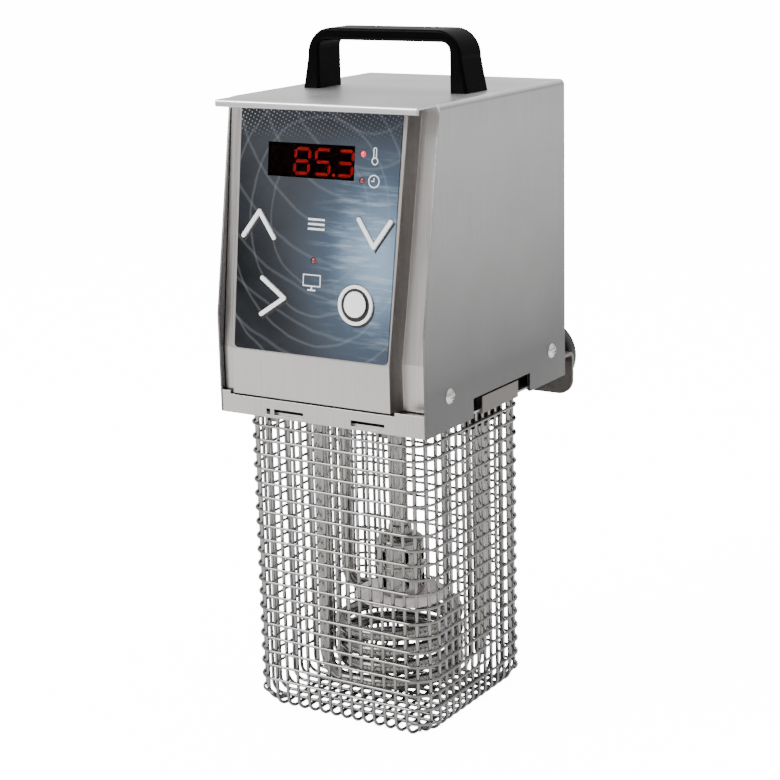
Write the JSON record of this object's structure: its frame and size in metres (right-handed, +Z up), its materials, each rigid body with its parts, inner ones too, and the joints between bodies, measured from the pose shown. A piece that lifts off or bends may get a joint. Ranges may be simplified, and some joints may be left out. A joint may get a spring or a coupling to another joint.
{
  "type": "immersion circulator",
  "caption": "Clip-on sous vide circulator: steel control head with keypad, display and handle over a wire guard holding a heater coil and stirring pump.",
  "frame": {"origin": "middle of the outline's underside, on the plane the wire guard stands on", "axes": "+Z up, -Y out of the control panel, +Y towards the rim clamp, +X to the user's right"},
  "size_m": [0.134, 0.1892, 0.3747],
  "materials": {
    "sheet_steel": "satin brushed",
    "panel_steel": "satin brushed",
    "bracket_steel": "brushed",
    "bright_steel": "electropolished wire",
    "tube_steel": "polished tube",
    "screw_steel": "bright",
    "handle_black": "satin moulded",
    "knob_black": "satin moulded",
    "pad_rubber": "matt",
    "label_film": "printed film, dark slate to light blue",
    "display_lens": "smoked red lens",
    "display_red": "lit segments",
    "display_body": "moulded",
    "lamp_red": "domed lamp",
    "key_white": "smooth moulded",
    "disc_white": "smooth moulded",
    "motor_paint": "semi-gloss",
    "coupling_alloy": "turned",
    "fan_plastic": "moulded",
    "bush_bronze": "turned",
    "board_green": "lacquered board",
    "component_plastic": "moulded",
    "core_iron": "varnished laminations",
    "winding_copper": "enamelled wire",
    "gland_grey": "moulded"
  },
  "bodies": {
    "housing": {"casing": "sheet_steel", "front_panel": "panel_steel", "base_pan": "panel_steel", "rear_panel": "sheet_steel", "handle": "handle_black", "side_screws": "screw_steel", "handle_screws": "screw_steel", "label_overlay": "label_film", "display_window": "display_lens", "display_digits": "display_red", "display_block": "display_body", "control_board": "board_green", "board_standoffs": "bush_bronze", "key_switches": "display_body", "indicator_lamps": "lamp_red", "motor_can": "motor_paint", "motor_mount": "panel_steel", "pump_column": "tube_steel", "column_bushes": "bush_bronze", "column_nut": "tube_steel", "pump_housing": "tube_steel", "flow_disc": "disc_white", "heater_element": "tube_steel", "floor_nuts": "tube_steel", "level_probe": "tube_steel", "heat_probe": "tube_steel", "heater_terminals": "component_plastic", "transformer_core": "core_iron", "transformer_winding": "winding_copper", "power_board": "board_green", "power_board_parts": "component_plastic", "heat_sink": "coupling_alloy", "terminal_block": "component_plastic", "cable_gland": "gland_grey", "clamp_bracket": "bracket_steel", "bracket_screws": "screw_steel", "clamp_bushes": "bracket_steel"},
    "pump_rotor": {"motor_shaft": "tube_steel", "shaft_coupling": "coupling_alloy", "cooling_fan": "fan_plastic", "drive_shaft": "tube_steel", "impeller": "tube_steel"},
    "key_up": {"key_up": "key_white"},
    "key_down": {"key_down": "key_white"},
    "key_next": {"key_next": "key_white"},
    "key_round": {"key_round": "key_white"},
    "guard": {"guard_front": "bright_steel", "guard_rear": "bright_steel", "guard_left": "bright_steel", "guard_right": "bright_steel", "guard_corners": "bright_steel", "guard_floor": "bright_steel", "guard_ears": "bracket_steel", "guard_tabs": "bracket_steel"},
    "pad_left": {"clamp_pad_left": "pad_rubber"},
    "pad_right": {"clamp_pad_right": "pad_rubber"},
    "knob_left": {"clamp_screw_left": "screw_steel", "clamp_knob_left": "knob_black"},
    "knob_right": {"clamp_screw_right": "screw_steel", "clamp_knob_right": "knob_black"}
  },
  "joints": [
    {"name": "pump_spin", "type": "hinge", "parent": "housing", "child": "pump_rotor", "pos_m": [0, -0.0184, 0.17515], "axis": [0, 0, 1], "continuous": true},
    {"name": "key_up_press", "type": "slide", "parent": "housing", "child": "key_up", "axis": [0, 0.9921, -0.1255], "range_m": [0, 0.0006], "stiffness_N_per_m": 400},
    {"name": "key_down_press", "type": "slide", "parent": "housing", "child": "key_down", "axis": [0, 0.9921, -0.1255], "range_m": [0, 0.0006], "stiffness_N_per_m": 400},
    {"name": "key_next_press", "type": "slide", "parent": "housing", "child": "key_next", "axis": [0, 0.9921, -0.1255], "range_m": [0, 0.0006], "stiffness_N_per_m": 400},
    {"name": "key_round_press", "type": "slide", "parent": "housing", "child": "key_round", "axis": [0, 0.9921, -0.1255], "range_m": [0, 0.0006], "stiffness_N_per_m": 400},
    {"name": "guard_pull", "type": "slide", "parent": "housing", "child": "guard", "axis": [0, 0, -1], "range_m": [0, 0.19]},
    {"name": "pad_left_feed", "type": "slide", "parent": "housing", "child": "pad_left", "axis": [0, -1, 0], "range_m": [0, 0.00661]},
    {"name": "knob_left_turn", "type": "hinge", "parent": "pad_left", "child": "knob_left", "pos_m": [-0.038, 0.0818, 0.17815], "axis": [0, -1, 0], "range_deg": [0, 2376]},
    {"name": "pad_right_feed", "type": "slide", "parent": "housing", "child": "pad_right", "axis": [0, -1, 0], "range_m": [0, 0.00661]},
    {"name": "knob_right_turn", "type": "hinge", "parent": "pad_right", "child": "knob_right", "pos_m": [0.038, 0.0818, 0.17815], "axis": [0, -1, 0], "range_deg": [0, 2376]}
  ],
  "couplings": [
    {"joint": "pad_left_feed", "follows": "knob_left_turn", "m_per_rad": 0.00015915},
    {"joint": "pad_right_feed", "follows": "knob_right_turn", "m_per_rad": 0.00015915}
  ]
}
